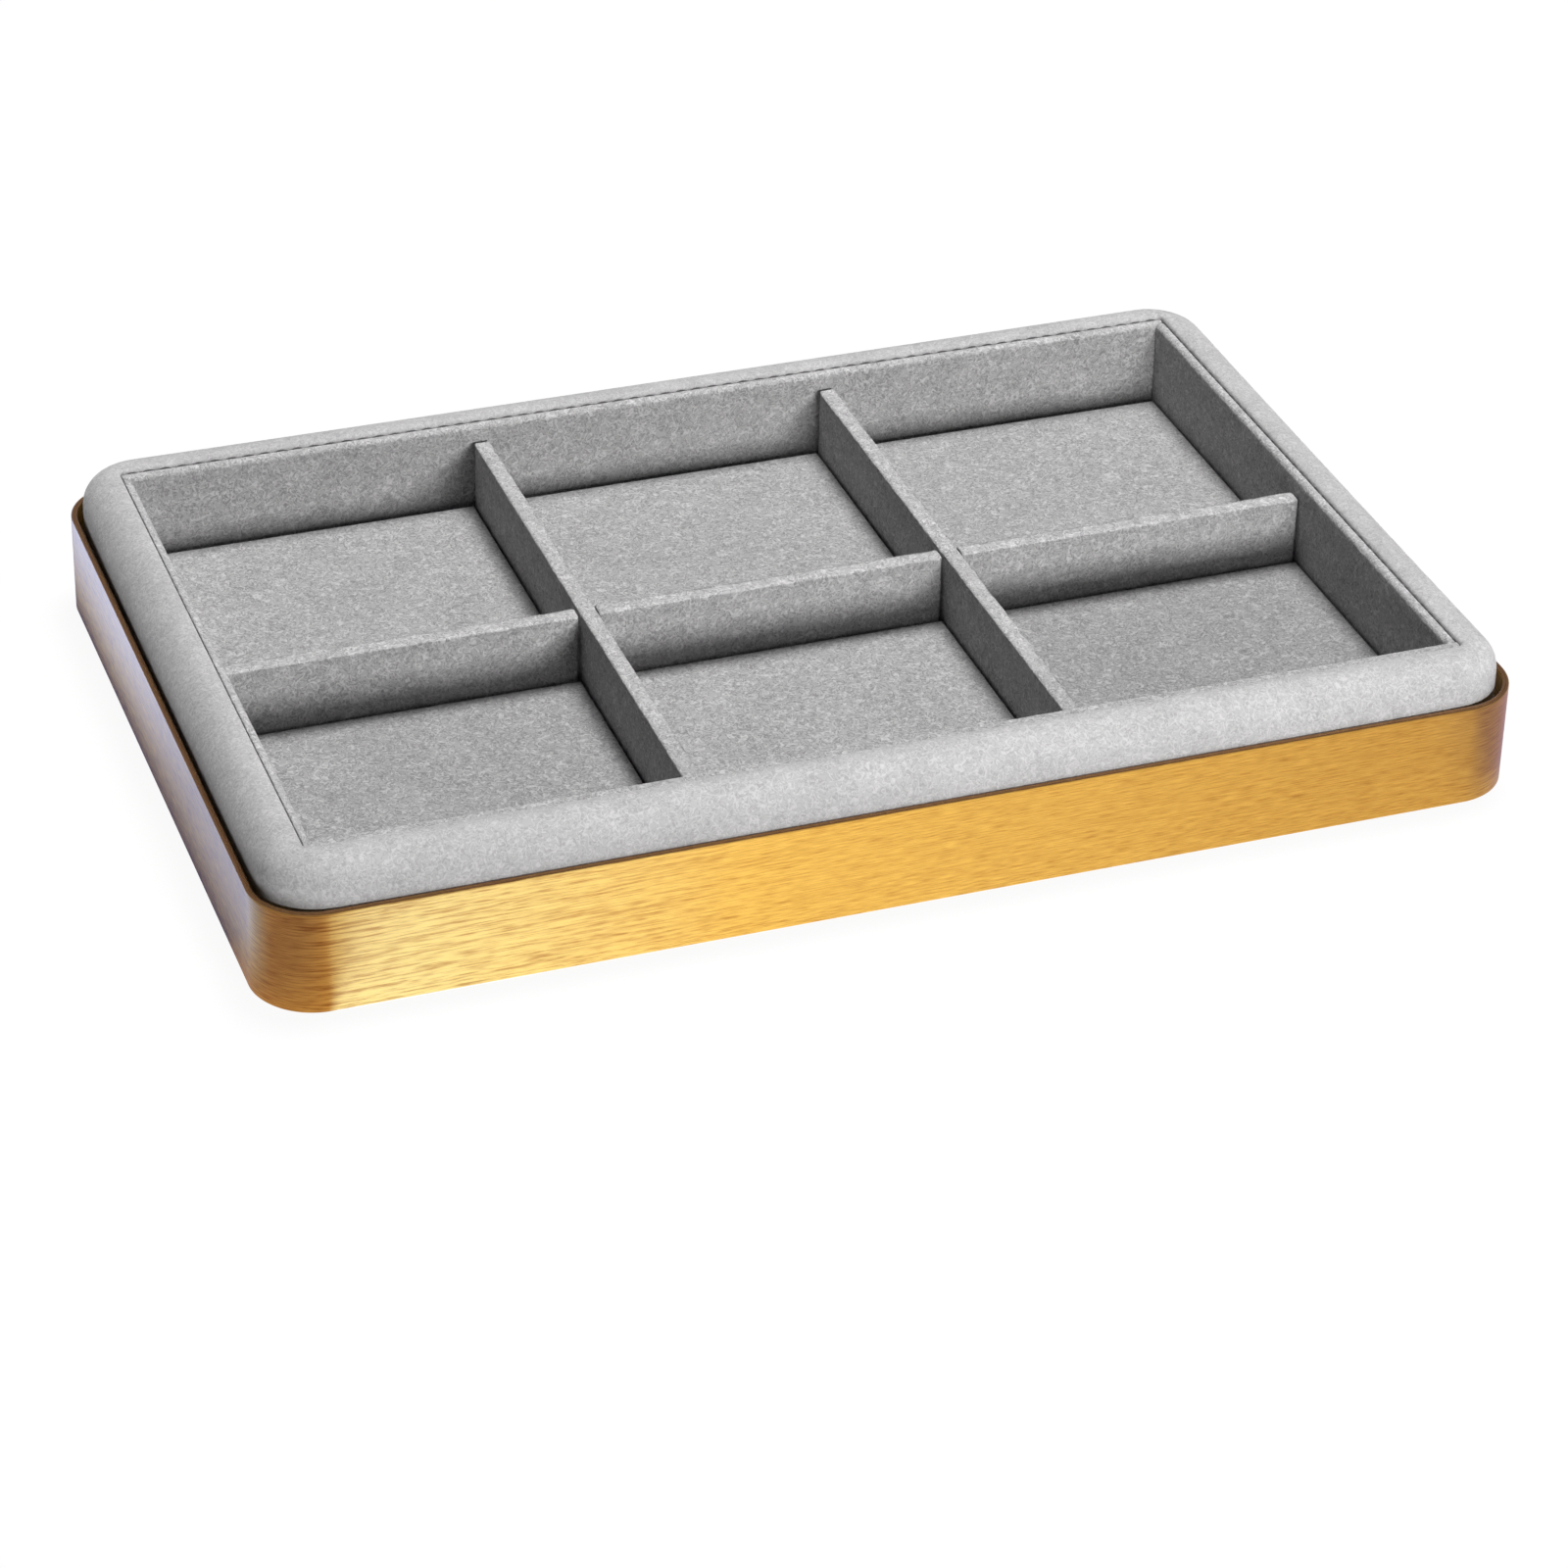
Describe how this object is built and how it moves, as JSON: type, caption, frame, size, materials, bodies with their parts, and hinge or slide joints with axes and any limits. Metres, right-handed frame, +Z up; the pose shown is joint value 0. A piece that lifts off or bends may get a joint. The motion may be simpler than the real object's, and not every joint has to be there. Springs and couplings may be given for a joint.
{
  "type": "jewelry tray",
  "caption": "Shallow rectangular jewellery tray: a brushed gold metal band round a grey microfibre insert with a padded rim and bays formed by lift-out dividers.",
  "frame": {"origin": "middle of the underside, on the surface that the tray stands on", "axes": "+X along the length, +Y from front to back, +Z up"},
  "size_m": [0.35, 0.23, 0.0417],
  "materials": {
    "gold_metal": "brushed, gold coloured",
    "microfibre": "suede-like nap",
    "fibreboard": "raw fibreboard",
    "rail_wood": "planed softwood",
    "hardboard": "hardboard",
    "greyboard": "greyboard",
    "foam": "polyurethane foam",
    "felt": "pressed felt"
  },
  "bodies": {
    "frame": {"metal_band": "gold_metal", "base_board": "fibreboard", "base_felt": "felt"},
    "insert": {"insert_panel": "fibreboard", "rim_cover": "microfibre", "rim_foam": "foam", "rim_rail_front": "rail_wood", "rim_rail_back": "rail_wood", "rim_rail_left": "rail_wood", "rim_rail_right": "rail_wood", "liner_front_cover": "microfibre", "liner_back_cover": "microfibre", "liner_left_cover": "microfibre", "liner_right_cover": "microfibre", "liner_front_card": "greyboard", "liner_back_card": "greyboard", "liner_left_card": "greyboard", "liner_right_card": "greyboard", "pad_left_front_cover": "microfibre", "pad_left_back_cover": "microfibre", "pad_middle_front_cover": "microfibre", "pad_middle_back_cover": "microfibre", "pad_right_front_cover": "microfibre", "pad_right_back_cover": "microfibre", "pad_left_front_card": "greyboard", "pad_left_back_card": "greyboard", "pad_middle_front_card": "greyboard", "pad_middle_back_card": "greyboard", "pad_right_front_card": "greyboard", "pad_right_back_card": "greyboard"},
    "long_divider_left": {"long_divider_left_cover": "microfibre", "long_divider_left_board": "hardboard"},
    "long_divider_right": {"long_divider_right_cover": "microfibre", "long_divider_right_board": "hardboard"},
    "short_divider_left": {"short_divider_left_cover": "microfibre", "short_divider_left_board": "hardboard"},
    "short_divider_middle": {"short_divider_middle_cover": "microfibre", "short_divider_middle_board": "hardboard"},
    "short_divider_right": {"short_divider_right_cover": "microfibre", "short_divider_right_board": "hardboard"}
  },
  "joints": [
    {"name": "insert_lift", "type": "slide", "parent": "frame", "child": "insert", "axis": [0, 0, 1], "range_m": [0, 0.06]},
    {"name": "long_divider_left_lift", "type": "slide", "parent": "insert", "child": "long_divider_left", "axis": [0, 0, 1], "range_m": [0, 0.045]},
    {"name": "long_divider_right_lift", "type": "slide", "parent": "insert", "child": "long_divider_right", "axis": [0, 0, 1], "range_m": [0, 0.045]},
    {"name": "short_divider_left_lift", "type": "slide", "parent": "insert", "child": "short_divider_left", "axis": [0, 0, 1], "range_m": [0, 0.045]},
    {"name": "short_divider_middle_lift", "type": "slide", "parent": "insert", "child": "short_divider_middle", "axis": [0, 0, 1], "range_m": [0, 0.045]},
    {"name": "short_divider_right_lift", "type": "slide", "parent": "insert", "child": "short_divider_right", "axis": [0, 0, 1], "range_m": [0, 0.045]}
  ]
}
